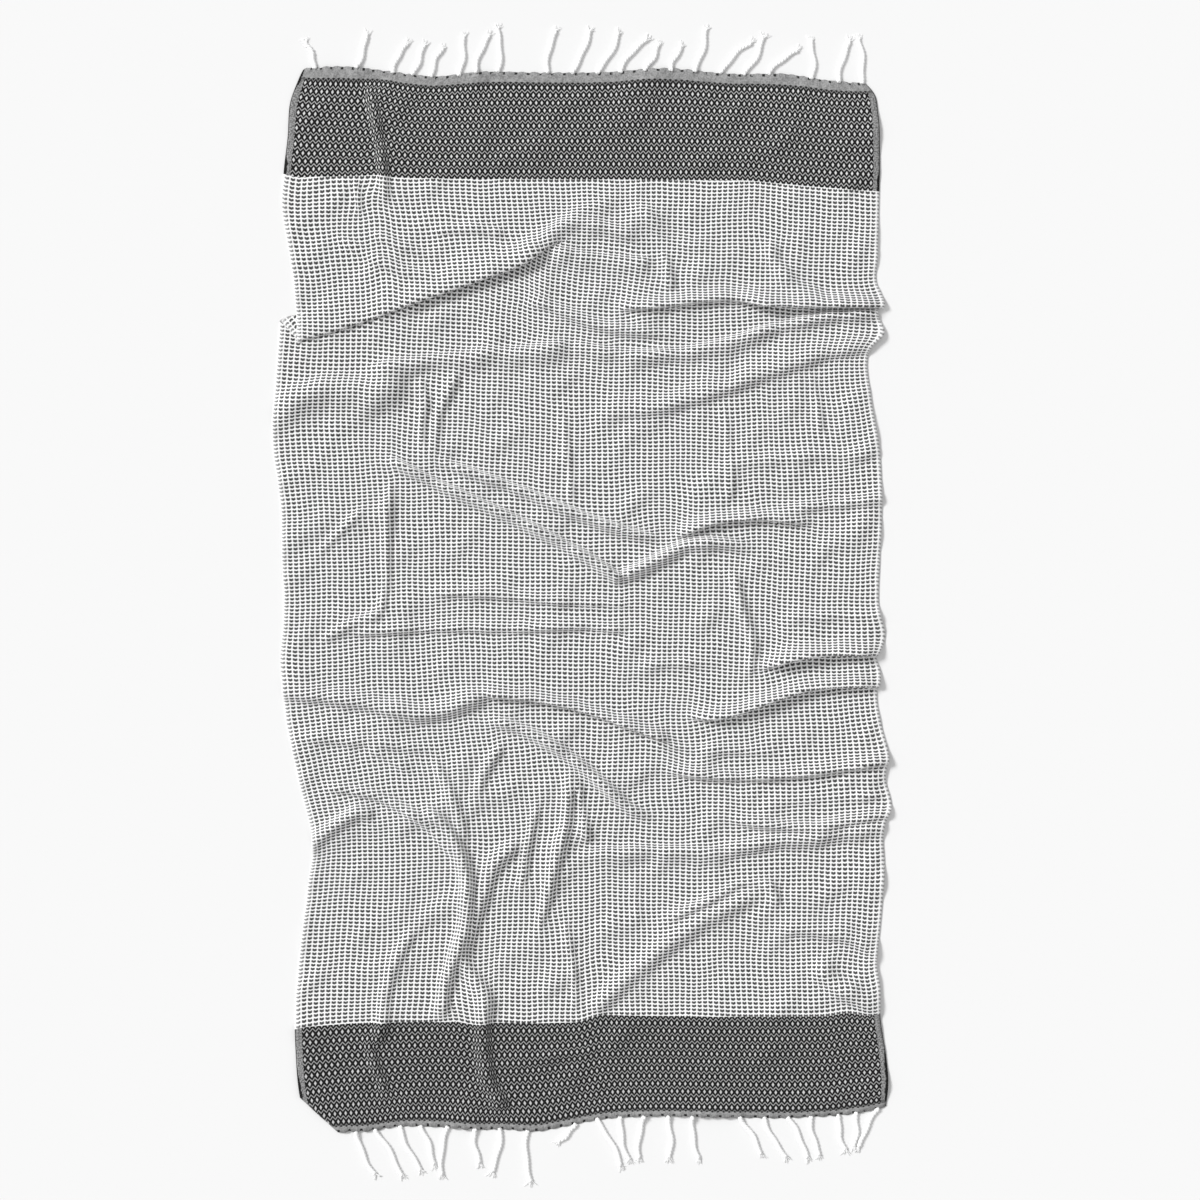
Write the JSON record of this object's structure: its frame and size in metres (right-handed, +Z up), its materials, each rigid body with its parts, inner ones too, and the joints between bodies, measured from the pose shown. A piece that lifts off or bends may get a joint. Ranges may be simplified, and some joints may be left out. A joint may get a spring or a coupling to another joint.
{
  "type": "hammam towel",
  "caption": "Loose flat-woven hammam towel lying on the floor, with dark woven end bands, soft folds, a tuck, a turned corner and twisted fringe.",
  "frame": {"origin": "centre of the laid towel's box, fringe included, at the floor it lies on", "axes": "+Y along the towel's length from the foot hem (with the turned-under corner) to the head hem, +X across it, +Z up from the floor"},
  "size_m": [0.929, 1.7302, 0.0232],
  "materials": {
    "woven_cloth": "matte flat-woven cotton, white with small dark dashes, black and pale diamond-woven bands at both ends",
    "fringe_cord": "matte twisted white cotton yarn"
  },
  "bodies": {
    "root": {"towel_cloth": "woven_cloth", "fringe_foot": "fringe_cord", "fringe_head": "fringe_cord"}
  },
  "joints": []
}
